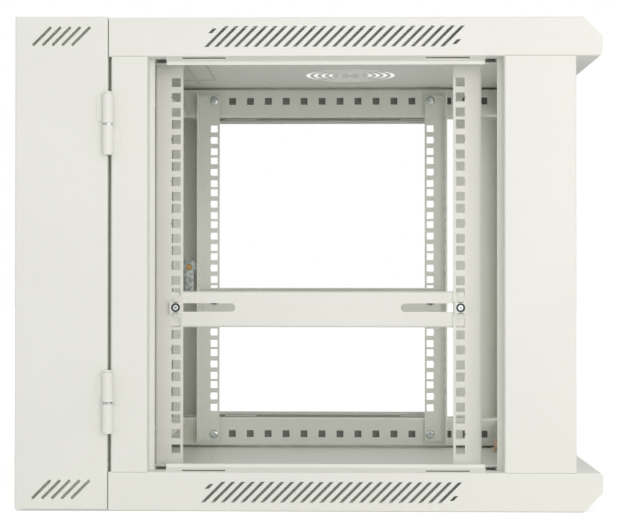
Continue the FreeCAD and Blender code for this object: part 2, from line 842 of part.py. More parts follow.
rail_middle = (rail_columns[0] + rail_columns[1]) / 2
cross_hole_level = first_hole + 2 * size.rack_step + (size.rack_units - 1) * size.rack_unit \
    - (size.cross_hole_number - 2) / 3 * size.rack_unit - size.rack_step
cross_middle = cross_hole_level - size.cross_drop


def cross_bar(label, side):
    face = side * (rail_face - size.rail_gauge)
    inner = side * (rail_face - size.rail_gauge - size.cross_flange)
    low, high = cross_middle - size.cross_height / 2, cross_middle + size.cross_height / 2
    path = [(inner, high), (face, high), (face, low), (inner, low)]
    piece = Sheetwork(label)
    section, hollow = folded(path, size.cross_gauge, -side)
    sketch = piece.sketch("YZ", offset=rail_middle)
    polygon(sketch, section)
    piece.pad(sketch, size.rail_spacing + 2 * size.cross_overhang, symmetric=True)
    round_bends(piece, path, hollow, 0, size.cross_gauge, size.bend_radius)
    sketch = piece.sketch("XZ", offset=-face)
    for way in (-1, 1):
        half_run = (size.cross_slot_length - size.cross_slot_height) / 2
        aside = size.rail_spacing / 2 + size.cross_slot_past - size.cross_slot_length / 2
        middle = rail_middle + way * aside
        stadium(sketch, (middle, cross_hole_level), half_run, Dim.of(0), size.cross_slot_height)
    piece.pocket(sketch, 4 * size.cross_gauge, symmetric=True)
    return piece


for side_name, side in SIDES.items():
    cross_bar(f"cross_bar_{side_name}", side)

# Wall section: two side channels, a cap at each end and a back plate

def wall_side(label, side):
    outer = side * half_width
    path = [(wall_front, outer - side * size.wall_front_return), (wall_front, outer),
            (wall_back, outer), (wall_back, outer - side * size.wall_back_return)]
    piece = strip(label, "XY", path, gauge, side, wall_height, offset=size.wall_lift,
                  symmetric=False)
    sketch = piece.sketch("XZ", offset=-outer)
    middle = (wall_front + wall_back) / 2
    half = size.wall_vent_length / 2 * math.sqrt(0.5)
    first = middle - size.vent_pitch * (size.wall_vent_count - 1) / 2
    for height in (wall_top_level - size.wall_vent_drop, size.wall_lift + size.wall_vent_drop):
        stadium(sketch, (first, height), half, half, size.wall_vent_slot)
    cut = piece.pocket(sketch, 4 * gauge, symmetric=True)
    piece.row(cut, "H_Axis", size.vent_pitch, size.wall_vent_count)
    return piece


def wall_cap(label, level, up):
    front, back = wall_front - gauge, wall_back + gauge
    inward = level - up * size.wall_cap_flange
    path = [(front, inward), (front, level), (back, level), (back, inward)]
    return strip(label, "XZ", path, gauge, up, main_width - 2 * gauge)


wall_side("wall_side_near", -1)
wall_side_far = wall_side("wall_side_far", 1)
cam_slot(wall_side_far, wall_front, 1)
wall_cap("wall_cap_top", wall_top_level, 1)
wall_cap("wall_cap_bottom", size.wall_lift, -1)


def back_plate():
    piece = Sheetwork("wall_back_plate")
    plate_width = main_width - 2 * gauge - 2 * size.back_plate_margin
    plate_height = wall_height - 2 * gauge - 2 * size.back_plate_margin
    middle = size.wall_lift + wall_height / 2
    sketch = piece.sketch("YZ", offset=wall_back + 2 * gauge)
    rectangle(sketch, Dim.of(0), middle, plate_width, plate_height)
    piece.pad(sketch, gauge)
    holes = piece.sketch("YZ", offset=wall_back + 2 * gauge)
    rectangle(holes, Dim.of(0), middle, size.back_opening_width, size.back_opening_height)
    for way_y in (-1, 1):
        for way_z in (-1, 1):
            circle(holes, way_y * size.wall_hole_width / 2, middle + way_z * size.wall_hole_height / 2,
                   size.wall_hole_radius)
    piece.pocket(holes, 4 * gauge, symmetric=True)
    return piece


back_plate()


def placed(label, shape):
    """A sub-part whose shape is worked out here from the sheet's values."""
    item = doc.addObject("Part::Feature", label)
    item.Label = label
    item.Shape = shape
    return item


def turned(profile, base, direction):
    """A solid of revolution from (radius, distance) pairs, standing at base along direction."""
    points = [Vector(value_of(r), 0, value_of(z)) for r, z in profile]
    face = Part.Face(Part.makePolygon(points + points[:1]))
    solid = face.revolve(Vector(0, 0, 0), Vector(0, 0, 1), 360)
    solid.Placement = FreeCAD.Placement(base, Rotation(Vector(0, 0, 1), direction))
    return solid


def point(x, y, z):
    return Vector(value_of(x), value_of(y), value_of(z))


def recess(base, direction, width, depth):
    """A cross recess for a screwdriver, cut down from base against direction."""
    arms = [Part.makeBox(width, width / 4, depth, Vector(-width / 2, -width / 8, -depth)),
            Part.makeBox(width / 4, width, depth, Vector(-width / 8, -width / 2, -depth))]
    cross = arms[0].fuse(arms[1])
    cross.Placement = FreeCAD.Placement(base, Rotation(Vector(0, 0, 1), direction))
    return cross


def machine_screw(seat, direction, reach):
    """A round-headed screw: its head stands on seat along direction, its shank goes the other way."""
    head, height = size.screw_head_radius, size.screw_head_height
    shank = size.thread_radius - size.thread_clearance
    chamfer = size.thread_chamfer
    dome = [(head * wide, height * tall) for wide, tall in ((1, 0.45), (0.82, 0.82), (0.5, 1))]
    profile = [(0, -reach), (shank - chamfer, -reach), (shank, chamfer - reach), (shank, 0), (head, 0)]
    profile += dome + [(0, height)]
    solid = turned(profile, seat, direction)
    top = seat + direction * height.value
    return solid.cut(recess(top, direction, head.value, size.screw_recess.value))


def cage_nut(seat, direction, neck_length, ears):
    """A square nut in its cage: the body stands on seat along direction, the neck goes the other
    way through the sheet's square hole, and ears hold it at two sides."""
    half, neck = size.nut_size.value / 2, size.nut_neck.value / 2
    thick = size.nut_thick.value
    body = Part.makeBox(2 * half, 2 * half, thick, Vector(-half, -half, 0))
    body = body.makeFillet(size.nut_corner.value, [e for e in body.Edges if abs(e.tangentAt(0).z) > 0.9])
    stem = Part.makeBox(2 * neck, 2 * neck, neck_length, Vector(-neck, -neck, -neck_length))
    solid = body.fuse(stem)
    if ears:
        ear_width, ear_end = size.nut_ear_width.value, half + size.nut_ear_reach.value
        wing = Part.makeBox(ear_width, 2 * ear_end, size.nut_ear_thick.value,
                            Vector(-ear_width / 2, -ear_end, 0))
        solid = solid.fuse(wing)
    bore = Part.makeCylinder(size.thread_radius.value, 2 * (thick + neck_length),
                             Vector(0, 0, -thick / 2 - neck_length))
    solid = solid.cut(bore)
    solid.Placement = FreeCAD.Placement(seat, Rotation(Vector(1, 0, 0), Vector(0, 0, 0), direction, "ZXY"))
    return solid


screw_levels = [bar_screw_level(up) for up in (-1, 1)]

rail_screws, rail_nuts, cross_screws, cross_nuts, cross_cups = [], [], [], [], []
for side in SIDES.values():
    outward = Vector(0, side, 0)
    inside = rail_face - size.rail_gauge
    for column in rail_columns:
        for height in screw_levels:
            seat = point(column, side * inside, height)
            reach = size.rail_gauge + size.bar_standoff + size.bar_gauge + size.nut_thick
            rail_screws.append(machine_screw(seat, -outward, reach.value))
            back = point(column, side * (bar_face + size.bar_gauge), height)
            rail_nuts.append(cage_nut(back, outward, (size.bar_standoff + size.bar_gauge).value, False))
        web = inside - size.cross_gauge
        cup_seat = point(column, side * web, cross_hole_level)
        cup_bore = size.thread_radius + size.cup_clearance
        cup = turned([(cup_bore, 0), (size.cup_radius, 0), (size.screw_head_radius, size.cup_thick),
                      (cup_bore, size.cup_thick)], cup_seat, -outward)
        cross_cups.append(cup)
        seat = cup_seat - outward * size.cup_thick.value
        reach = size.cup_thick + size.cross_gauge + size.rail_gauge + size.nut_thick
        cross_screws.append(machine_screw(seat, -outward, reach.value))
        back = point(column, side * rail_face, cross_hole_level)
        cross_nuts.append(cage_nut(back, outward, size.rail_gauge.value, True))

placed("rail_screws", Part.makeCompound(rail_screws))
placed("rail_cage_nuts", Part.makeCompound(rail_nuts))
placed("cross_bar_screws", Part.makeCompound(cross_screws))
placed("cross_bar_cage_nuts", Part.makeCompound(cross_nuts))
placed("cross_bar_cup_washers", Part.makeCompound(cross_cups))

# Hinges: a knuckle welded to the wall section above one welded to the post, on a loose pin

def knuckle(label, low, way):
    """way is the side of the axis where the leaf lies: -1 on the wall section, +1 on the post."""
    radius, length = size.knuckle_radius.value, size.knuckle_length.value
    axis = point(hinge_x, hinge_y, low)
    taper = size.knuckle_taper.value
    profile = [(0, 0), (radius - taper, 0), (radius, taper), (radius, length - taper),
               (radius - taper, length), (0, length)]
    barrel = turned(profile, axis, Vector(0, 0, 1))
    leaf_height = size.hinge_leaf_height.value
    leaf = Part.makeBox(size.hinge_leaf.value, size.hinge_leaf_thick.value, leaf_height,
                        Vector(0 if way > 0 else -size.hinge_leaf.value, -size.hinge_leaf_thick.value, 0))
    leaf.translate(point(hinge_x, -half_width, low + (length - leaf_height) / 2))
    bore = size.hinge_pin_radius.value + (size.hinge_clearance.value if way < 0 else 0)
    solid = barrel.fuse(leaf).cut(Part.makeCylinder(bore, length + 2, axis - Vector(0, 0, 1)))
    placed(label, solid.removeSplitter())


def hinge(prefix, joint_level):
    lower_top = joint_level - size.knuckle_gap / 2
    upper_low = joint_level + size.knuckle_gap / 2
    knuckle(f"{prefix}_hinge_post_knuckle", lower_top - size.knuckle_length, 1)
    knuckle(f"{prefix}_hinge_wall_knuckle", upper_low, -1)
    washer = turned([(size.hinge_pin_radius, 0), (size.knuckle_radius, 0),
                     (size.knuckle_radius, size.hinge_washer), (size.hinge_pin_radius, size.hinge_washer)],
                    point(hinge_x, hinge_y, lower_top), Vector(0, 0, 1))
    placed(f"{prefix}_hinge_washer", washer)
    top = 2 * size.knuckle_length + size.knuckle_gap
    head_low = top + size.pin_head_gap
    head_top = head_low + size.pin_head_height
    end, taper, bevel = size.pin_end_gap, size.pin_taper, size.pin_head_bevel
    profile = [(0, end), (size.hinge_pin_radius - taper, end), (size.hinge_pin_radius, end + taper),
               (size.hinge_pin_radius, head_low), (size.pin_head_radius, head_low),
               (size.pin_head_radius, head_top - bevel), (size.pin_head_radius - bevel, head_top),
               (0, head_top)]
    pin = turned(profile, point(hinge_x, hinge_y, lower_top - size.knuckle_length), Vector(0, 0, 1))
    placed(f"{prefix}_hinge_pin", pin)


hinge("upper", hinge_level + size.hinge_spacing / 2)
hinge("lower", hinge_level - size.hinge_spacing / 2)

# Lock: a threaded housing and its nut, a key plug, and a hooked cam with its screw

inward = Vector(0, -1, 0)
lock_face = point(lock_x, half_width, lock_level)


def hexagon(width, height, base, direction):
    corner = width / math.sqrt(3)
    ring = [Vector(corner * math.cos(a), corner * math.sin(a), 0)
            for a in (math.radians(60 * n) for n in range(7))]
    solid = Part.Face(Part.makePolygon(ring)).extrude(Vector(0, 0, height))
    solid.Placement = FreeCAD.Placement(base, Rotation(Vector(0, 0, 1), direction))
    return solid


def lock():
    flange = size.lock_flange_height
    bore = size.plug_radius + size.plug_clearance
    bevel = size.lock_bevel
    housing = turned([(bore, -flange), (size.lock_flange_radius - bevel, -flange),
                      (size.lock_flange_radius, bevel - flange), (size.lock_flange_radius, 0),
                      (size.lock_radius, 0), (size.lock_radius, size.lock_depth), (bore, size.lock_depth)],
                     lock_face, inward)
    placed("lock_housing", housing)

    nut_base = lock_face + inward * gauge.value
    nut = hexagon(size.lock_nut_width.value, size.lock_nut_height.value, nut_base, inward)
    hole = Part.makeCylinder(size.lock_radius.value, size.lock_depth.value, lock_face, inward)
    placed("lock_nut", nut.cut(hole))

    cam_seat = lock_face + inward * (size.lock_depth + size.cam_gap).value
    plug_length = flange + size.lock_depth + size.cam_gap - size.plug_sink
    plug = Part.makeCylinder(size.plug_radius.value, plug_length.value,
                             lock_face - inward * (flange - size.plug_sink).value, inward)
    tenon_half = size.plug_tenon.value / 2
    tenon = Part.makeBox(2 * tenon_half, size.cam_thick.value, 2 * tenon_half,
                         cam_seat - Vector(tenon_half, size.cam_thick.value, tenon_half))
    wide, deep, tall = size.keyway_width.value, size.keyway_depth.value, size.keyway_height.value
    keyway = Part.makeBox(wide, deep, tall, lock_face + Vector(-wide / 2, flange.value - deep, -tall / 2))
    threaded = Part.makeCylinder(size.cam_screw_radius.value, size.cam_screw_hole_depth.value,
                                 cam_seat + inward * size.cam_thick.value, -inward)
    placed("lock_plug", plug.fuse(tenon).cut(keyway).cut(threaded))

    half, reach = size.cam_width.value / 2, size.cam_reach.value
    nose = size.cam_nose_width.value
    hook = half + size.cam_nose_height.value
    round_end = Vector(0, 0, half)
    tip = -math.sqrt(reach**2 - hook**2)
    corners = [Vector(half, 0, 0), Vector(half, 0, -reach), Vector(-hook, 0, tip),
               Vector(-hook, 0, nose + tip), Vector(-half, 0, nose - reach), Vector(-half, 0, 0)]
    edges = [Part.LineSegment(a, b).toShape() for a, b in zip(corners, corners[1:])]
    edges.append(Part.Arc(corners[-1], round_end, corners[0]).toShape())
    outline = Part.Wire(edges)
    cam = Part.Face(outline).extrude(Vector(0, -size.cam_thick.value, 0))
    cam.translate(cam_seat)
    thick = size.cam_thick.value
    eye = Part.makeCylinder(size.cam_eye_radius.value, 3 * thick,
                            cam_seat + Vector(0, thick, size.cam_eye_rise.value - reach), inward)
    placed("lock_cam", cam.cut(tenon).cut(eye))

    screw_seat = cam_seat + inward * size.cam_thick.value
    head = size.cam_screw_height
    shank = size.cam_screw_radius - size.cam_screw_clearance
    screw = turned([(0, -size.cam_screw_reach), (shank, -size.cam_screw_reach), (shank, 0),
                    (size.cam_screw_head, 0), (size.cam_screw_head, head * 0.6),
                    (size.cam_screw_head - size.cam_screw_bevel, head), (0, head)], screw_seat, inward)
    cross = recess(screw_seat + inward * head.value, inward, size.cam_recess_width.value,
                   size.cam_recess_depth.value)
    screw = screw.cut(cross)
    placed("lock_cam_screw", screw)


lock()

# Earth stud, washer and nut on the floor

def earth_point():
    base = point(half_depth - size.stud_setback, half_width - size.stud_inset, gauge)
    up = Vector(0, 0, 1)
    radius = size.thread_radius
    stud = turned([(0, 0), (radius, 0), (radius, size.stud_height - size.stud_bevel),
                   (radius - size.stud_bevel, size.stud_height), (0, size.stud_height)], base, up)
    placed("earth_stud", stud)
    bore = radius + size.stud_washer_clearance
    washer = turned([(bore, 0), (size.stud_washer_radius, 0),
                     (size.stud_washer_radius, size.stud_washer_thick),
                     (bore, size.stud_washer_thick)], base, up)
    placed("earth_washer", washer)
    seat = base + up * size.stud_washer_thick.value
    nut = hexagon(size.stud_nut_width.value, size.stud_nut_height.value, seat, up)
    bore = radius + size.stud_nut_clearance
    placed("earth_nut", nut.cut(Part.makeCylinder(bore.value, size.stud_height.value, base, up)))


earth_point()

# Check every object, then write each sub-part to its own file

doc.recompute()
for item in doc.Objects:
    if "Invalid" in item.State or "Error" in item.State:
        raise RuntimeError(f"{item.Label} failed: {item.State}")

os.makedirs("parts", exist_ok=True)
subparts = [o for o in doc.Objects if o.TypeId == "PartDesign::Body" or o.TypeId == "Part::Feature"]
for item in subparts:
    shape = item.Shape
    if shape.isNull() or not shape.isValid():
        raise RuntimeError(f"{item.Label} has no valid shape")
    shape.exportStep(os.path.join("parts", item.Label + ".step"))
    print(f"{item.Label}: {len(shape.Solids)} solid(s), {shape.Volume:.0f} mm3")
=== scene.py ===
# %% [markdown]
# # Dressing a two-section wall rack cabinet
#
# The CAD model already holds every folded sheet, rail, screw and hinge of the cabinet at its real
# size. This lesson keeps those shapes and gives them their finishes: light grey powder coat over
# folded steel, bright zinc on the fasteners and the lock, and brass or copper on three small parts.
# It also sets up the camera, a pale floor and soft studio light.
#
# The frame comes in first, because every later step asks it where a part is.

# %% Load the packed cabinet
import json
import math

import bpy
import numpy as np
from mathutils import Matrix, Vector


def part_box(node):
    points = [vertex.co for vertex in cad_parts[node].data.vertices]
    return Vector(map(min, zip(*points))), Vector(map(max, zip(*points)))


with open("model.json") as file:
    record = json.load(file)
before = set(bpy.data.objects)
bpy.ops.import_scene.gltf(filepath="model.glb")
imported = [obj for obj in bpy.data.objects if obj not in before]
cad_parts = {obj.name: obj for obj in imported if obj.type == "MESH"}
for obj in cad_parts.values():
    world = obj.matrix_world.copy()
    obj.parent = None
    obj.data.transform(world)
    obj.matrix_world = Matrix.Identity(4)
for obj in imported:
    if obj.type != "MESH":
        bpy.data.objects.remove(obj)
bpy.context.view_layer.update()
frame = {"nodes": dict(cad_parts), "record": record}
nodes = frame["nodes"]

# %% [markdown]
# ## The camera
#
# The photograph was taken from the side, about a metre and a half from the near face, with a short
# telephoto lens, so that depth lines still converge clearly towards the middle. The camera could be
# aimed with a constraint, but its three turns are written down instead: the place, the heading, the
# tilt and the roll that put the posts, rails and bar holes where the photograph has them.

# %% Camera at the photograph's place
photo_width = 617
focal_pixels = 1451.1
sensor_width = 36.0
nearest, farthest = 0.05, 60
camera_place = Vector((-0.0205, -1.7744, 0.2390))
heading, tilt, roll = (math.radians(degrees) for degrees in (-1.039, 0.449, 0.024))


def camera_axes(heading, tilt, roll):
    """The camera's right, up and backward directions: heading turns it about the vertical from
    straight along +Y, tilt raises it, and roll turns the picture about the line of sight."""
    forward = Vector((
        math.sin(heading) * math.cos(tilt),
        math.cos(heading) * math.cos(tilt),
        math.sin(tilt),
    ))
    level = Vector((math.cos(heading), -math.sin(heading), 0))
    above = level.cross(forward)
    right = level * math.cos(roll) + above * math.sin(roll)
    up = above * math.cos(roll) - level * math.sin(roll)
    return right, up, -forward


lens = bpy.data.cameras.new("photo_camera")
lens.sensor_fit = "HORIZONTAL"
lens.sensor_width = sensor_width
lens.lens = focal_pixels * sensor_width / photo_width
lens.clip_start = nearest
lens.clip_end = farthest
camera = bpy.data.objects.new("photo_camera", lens)
bpy.context.scene.collection.objects.link(camera)
turn = Matrix(camera_axes(heading, tilt, roll)).transposed().to_4x4()
camera.matrix_world = Matrix.Translation(camera_place) @ turn
bpy.context.scene.camera = camera
print("lens in mm:", round(lens.lens, 1))

# %% [markdown]
# ## Writing a net of nodes as sums
#
# A material in Blender is a net of nodes, and so is the sky. Wiring one by hand takes four lines a
# node, so this cell makes a small wrapper: a `Flow` is one socket on its way through the net, and
# adding or multiplying two flows puts in the Math node that does it. `Net` makes every node.

# %% A wrapper for sockets
class Flow:
    """One output socket of a net, with operators that add Math nodes."""

    def __init__(self, net, socket):
        self.net = net
        self.socket = socket

    def __add__(self, other):
        return self.net.maths("ADD", self, other)

    def __sub__(self, other):
        return self.net.maths("SUBTRACT", self, other)

    def __rsub__(self, other):
        return self.net.maths("SUBTRACT", other, self)

    def __mul__(self, other):
        return self.net.maths("MULTIPLY", self, other)

    __radd__ = __add__
    __rmul__ = __mul__

    def size(self):
        """The number without its sign."""
        return self.net.maths("ABSOLUTE", self)

    def root(self):
        """The square root."""
        return self.net.maths("SQRT", self)

    def step(self, low, high):
        """0 below low, 1 above high and a smooth rise between them."""
        return self.net.node("ShaderNodeMapRange", {"interpolation_type": "SMOOTHSTEP"},
                             {"Value": self, "From Min": low, "From Max": high})

    def fall(self, low, high):
        """1 below low, 0 above high and a smooth fall between them."""
        return 1.0 - self.step(low, high)


class Net:
    """The nodes and links of a material or of the sky."""

    def __init__(self, tree):
        self.tree = tree

    def node(self, kind, settings, inputs, output=0):
        """A new node: its settings first, then a value or a link for each socket that is named."""
        made = self.tree.nodes.new(kind)
        for name, value in settings.items():
            setattr(made, name, value)
        for name, value in inputs.items():
            if isinstance(value, Flow):
                self.tree.links.new(value.socket, made.inputs[name])
            else:
                made.inputs[name].default_value = value
        return Flow(self, made.outputs[output])

    def maths(self, operation, *values):
        """What a Math node makes of the values, in their order."""
        return self.node("ShaderNodeMath", {"operation": operation}, dict(enumerate(values)))

    def ray(self, kind):
        """1 for a light ray of that kind, such as Camera, and 0 for any other."""
        return self.node("ShaderNodeLightPath", {}, {}, f"Is {kind} Ray")


print("a flow can:", [name for name in vars(Flow) if not name.startswith("__")])

# %% [markdown]
# A material needs a little more: where on the object it is, noise, colours that blend and a bump.
# Colours go through a Mix node, because Math nodes would turn them grey. That node has sockets for
# each kind of value, and those for colours are its inputs 6 and 7 and its output 2. `Recipe` is a
# net that starts at the piece's own Object coordinates and ends at one Principled shader.

# %% A material's net
millimetre = 0.001
mix_first, mix_second, mix_result = 6, 7, 2


class Recipe(Net):
    """A material's net, from its Object coordinates to its Principled shader."""

    def __init__(self, name, **constants):
        self.material = bpy.data.materials.new(name)
        self.material.use_nodes = True
        super().__init__(self.material.node_tree)
        self.shader = self.tree.nodes["Principled BSDF"]
        for socket, value in constants.items():
            self.shader.inputs[socket.replace("_", " ")].default_value = value
        self.place = self.node("ShaderNodeTexCoord", {}, {}, "Object")

    def axes(self, letters):
        """The place's coordinates named in letters, such as "XZ", as one flow each."""
        return [self.node("ShaderNodeSeparateXYZ", {}, {"Vector": self.place}, letter)
                for letter in letters]

    def noise(self, scale, detail, roughness=0.5, place=None):
        """Cloudy noise from 0 to 1, with `scale` blobs to the metre."""
        return self.node("ShaderNodeTexNoise", {}, {
            "Vector": place or self.place, "Scale": scale, "Detail": detail, "Roughness": roughness})

    def colours(self, share, first, second):
        """A colour that goes from first to second as share goes from 0 to 1."""
        inputs = {0: share}
        for number, colour in ((mix_first, first), (mix_second, second)):
            inputs[number] = colour if isinstance(colour, Flow) else (*colour, 1.0)
        return self.node("ShaderNodeMix", {"data_type": "RGBA"}, inputs, mix_result)

    def bump(self, height):
        """The surface's direction, tilted by a height in millimetres."""
        return self.node("ShaderNodeBump", {}, {
            "Height": height, "Distance": millimetre, "Strength": 1.0})

    def feed(self, **flows):
        """Links each flow to the shader's socket of that name, and gives the material."""
        for socket, flow in flows.items():
            self.tree.links.new(flow.socket, self.shader.inputs[socket.replace("_", " ")])
        return self.material


print("a recipe can:", [name for name in vars(Recipe) if not name.startswith("__")])

# %% [markdown]
# ## Powder coat
#
# The sheets are sprayed with dry light grey powder and baked, which leaves a satin skin with a very
# fine orange peel: ripples about a millimetre across and a few hundredths deep. An image of the
# texture would blur close up, so noise makes it: one fine noise for the peel, a finer one for its
# specks, a coarse one for how unevenly the film lies, and a slow one for the faint waves of thin
# folded sheet. The colour drifts by a percent or so with the film.

# %% Powder coat
coat_tone = (0.792, 0.806, 0.738)
coat_drift = (0.982, 1.012)
film_scale, peel_scale, speck_scale, wave_scale = 9.0, 780.0, 2600.0, 5.0
film_range = (0.3, 0.7)
film_share, peel_share = 0.7, 0.3
satin, film_dulls, peel_dulls = 0.40, 0.06, 0.08
peel_depth, speck_depth, wave_depth = 0.055, 0.012, 0.5


def powder_coat(name, dents=None, shade=None, shaded=None):
    """Satin light grey powder coat: its tone with a slow drift, fine peel and sheet waves. dents
    adds height in millimetres, and shade says where, from 0 to 1, the shaded tone shows instead."""
    mix = Recipe(name, IOR=1.5, Specular_IOR_Level=0.45)
    film = mix.noise(film_scale, detail=3.0)
    peel = mix.noise(peel_scale, detail=1.5, roughness=0.45)
    speck = mix.noise(speck_scale, detail=1.0)
    waves = mix.noise(wave_scale, detail=1.0)
    dark, light = (tuple(part * drift for part in coat_tone) for drift in coat_drift)
    colour = mix.colours(film.step(*film_range) * film_share + peel * peel_share, dark, light)
    if shade:
        colour = mix.colours(shade(mix), colour, shaded)
    rough = satin + film * film_dulls + peel * peel_dulls
    height = peel * peel_depth + speck * speck_depth + waves * wave_depth
    if dents:
        height = height + dents(mix)
    return mix.feed(Base_Color=colour, Roughness=rough, Normal=mix.bump(height))


coat = powder_coat("light_grey_powder_coat")
print("powder coat:", coat.name, len(coat.node_tree.nodes), "nodes")

# %% [markdown]
# Two faint round dimples show on the front post, as spot welds leave them. They are about a tenth
# of a millimetre deep. They could be pressed into the sheet's shape, but that takes many faces for
# marks so shallow, so they are a dish in the coat's height, worked out from the distance to each
# weld's axis.

# %% Spot welds on the front posts
weld_x = 0.181
weld_heights = (0.072, 0.400)
weld_flat, weld_rim = 0.00128, 0.0032
weld_depth = 0.12


def distance(across, up):
    """How far two steps at right angles lead: the root of the sum of their squares."""
    return (across * across + up * up).root()


def spot_welds(mix):
    """A shallow dish at each weld, in millimetres of height, by the distance from its axis."""
    x, z = mix.axes("XZ")
    return sum(distance(x - weld_x, z - level).fall(weld_flat, weld_rim) * -weld_depth
               for level in weld_heights)


post_coat = powder_coat("front_post_powder_coat", spot_welds)
print("spot welds at", weld_heights)

# %% [markdown]
# The inside of the lipped depth bars, seen only through their square holes, lies in deep shade,
# and that shade is painted into the coat as a darker tone. A second material could be put on those
# faces one by one, but the place itself says where they are: behind the bar's web and between its
# two flanges.

# %% Painted shade inside the depth bars
bar_gauge = 0.0015
soft_edge = 0.0004
# painted shade: the darker tone inside the depth bars
painted_bar_shade_tone = (0.40, 0.41, 0.38)
lower_bar, upper_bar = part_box("depth_bar_bottom_far"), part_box("depth_bar_top_far")
bar_back = lower_bar[0][1] + bar_gauge
bar_reach = (lower_bar[1][2] - lower_bar[0][2]) / 2 - bar_gauge
bar_levels = [(box[0][2] + box[1][2]) / 2 for box in (lower_bar, upper_bar)]


def painted_shade_inside_bars(mix):
    """1 where shade is painted: behind a bar's web and between its flanges, and 0 elsewhere."""
    y, z = mix.axes("YZ")
    behind = y.size().step(bar_back - soft_edge, bar_back + soft_edge)
    between = sum((z - level).size().fall(bar_reach, bar_reach + soft_edge)
                  for level in bar_levels)
    return behind * between


# painted shade: the inside of the depth bars takes the darker tone
bar_coat = powder_coat("depth_bar_powder_coat", None, painted_shade_inside_bars, painted_bar_shade_tone)
print("depth bars: web's back at y", round(bar_back, 4), "levels", np.round(bar_levels, 4).tolist())

# %% [markdown]
# The cable entry in the roof is a knock-out: a rectangle that is cut nearly all the way round, so
# that it can be bent out, with a screw hole past each end. The sheet has those cuts, but they are
# too narrow to show from this far, where the shade in the real ones makes dark lines. Wider cuts
# would be false, so that shade is painted along them and round the two holes, and a fainter painted
# shade lies beside the middle, where the real sheet is scored into a shallow crease.

# %% Painted shade in the knock-out's cuts
# painted shade tone for the knock-out's cuts, hole rims and score
painted_cut_shade_tone = (0.14, 0.15, 0.13)
entry_x = -0.2055
entry_half_width, entry_half_length = 0.025, 0.166
hole_y = 0.187
hole_line = (0.00255, 0.0030)
long_cut_half, end_cut_half, score_half = 0.0007, 0.0016, 0.00105
long_cut_strength, score_strength = 0.45, 0.28
score_aside = 0.0007
score_end = (0.90 * entry_half_length, 0.93 * entry_half_length)
roof_height = (0.47, 0.48)
band_edge = 0.3


def band(value, half):
    """1 within half of zero and 0 outside, with a narrow soft edge."""
    return value.size().fall(half * (1 - band_edge), half * (1 + band_edge))


def painted_knock_out_shade(mix):
    """Painted shade: 1 on the four cuts, on the two screw holes' rims and beside the score."""
    x, y, z = mix.axes("XYZ")
    off_middle = x - entry_x
    along = y.size()
    long_cuts = (band(off_middle.size() - entry_half_width, long_cut_half)
                 * along.fall(entry_half_length, entry_half_length + long_cut_half))
    end_cuts = band(along - entry_half_length, end_cut_half) * band(off_middle, entry_half_width)
    score = band(off_middle + score_aside, score_half) * along.fall(*score_end)
    rims = distance(off_middle, along - hole_y).fall(*hole_line)
    lines = long_cuts * long_cut_strength + end_cuts + score * score_strength + rims
    return mix.maths("MINIMUM", lines, 1.0) * z.step(*roof_height)


# painted shade: the roof's coat darkens along the knock-out's cuts, hole rims and score
roof_coat = powder_coat("roof_powder_coat", None, painted_knock_out_shade, painted_cut_shade_tone)
print("knock-out:", 2 * entry_half_width, "by", 2 * entry_half_length, "m")

# %% [markdown]
# ## Zinc plate
#
# Screws, the rails' cage nuts, washers and the lock are steel with bright zinc on them. It is a
# metal, so its colour is its reflection: a cool grey that is lighter in some places than in others.
# Small parts tumble in a drum as they are plated, which dulls them in patches and leaves fine
# scratches. One even roughness would look like paint, so it has a patchy noise and a stretched one.

# %% Zinc plate
drift_scale, patch_scale = 160.0, 420.0
scratch_scale = (900.0, 3200.0, 900.0)
drift_range, patch_range = (0.32, 0.7), (0.35, 0.75)
scratch_dulls = 0.06
mark_depth = 0.02


def plated(name, first, second, smooth, rough):
    """A metal whose colour drifts from first to second, with patchy gloss and tumbling marks."""
    mix = Recipe(name, Metallic=1.0)
    drift = mix.noise(drift_scale, detail=3.0).step(*drift_range)
    patch = mix.noise(patch_scale, detail=4.0, roughness=0.6)
    stretched = mix.node("ShaderNodeMapping", {}, {"Vector": mix.place, "Scale": scratch_scale})
    scratch = mix.noise(1.0, detail=2.0, roughness=0.6, place=stretched)
    colour = mix.colours(drift, first, second)
    gloss = smooth + patch.step(*patch_range) * (rough - smooth) + scratch * scratch_dulls
    height = patch * mark_depth + scratch * mark_depth
    return mix.feed(Base_Color=colour, Roughness=gloss, Normal=mix.bump(height))


zinc = plated("bright_zinc_plate", first=(0.42, 0.48, 0.49), second=(0.86, 0.89, 0.89),
              smooth=0.20, rough=0.40)
print("zinc plate:", len(zinc.node_tree.nodes), "nodes")

# %% [markdown]
# The nuts of the cross bars sit at the rails' square holes. Seen from outside, each is a well in
# shade with the bright end of its screw in it, in a cage that took the cabinet's own coat. The well
# could be a piece of its own. At this size only its shade shows, so that shade is painted as a dark
# disc by the distance from the screw's axis, and two painted shadow lines lie at the spring ears.

# %% Painted shade at the nuts of the cross bars
nut_width = 0.013
nut_low, nut_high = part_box("cross_bar_cage_nuts")
nut_middle = (nut_low[0] + nut_high[0]) / 2
nut_aside = (nut_high[0] - nut_low[0] - nut_width) / 2
nut_level = (nut_low[2] + nut_high[2]) / 2
well_rim = (0.00465, 0.0050)
# painted shade tone of the nut's well and of the ears' shadow lines
painted_well_shade_tone = (0.055, 0.07, 0.07)
ear_shadow_offset, ear_half_width, ear_half_height = 0.0057, 0.0029, 0.0004


def from_nut(mix):
    """How far the place is from the nearest nut's axis, across and up."""
    x, z = mix.axes("XZ")
    return (x - nut_middle).size() - nut_aside, z - nut_level


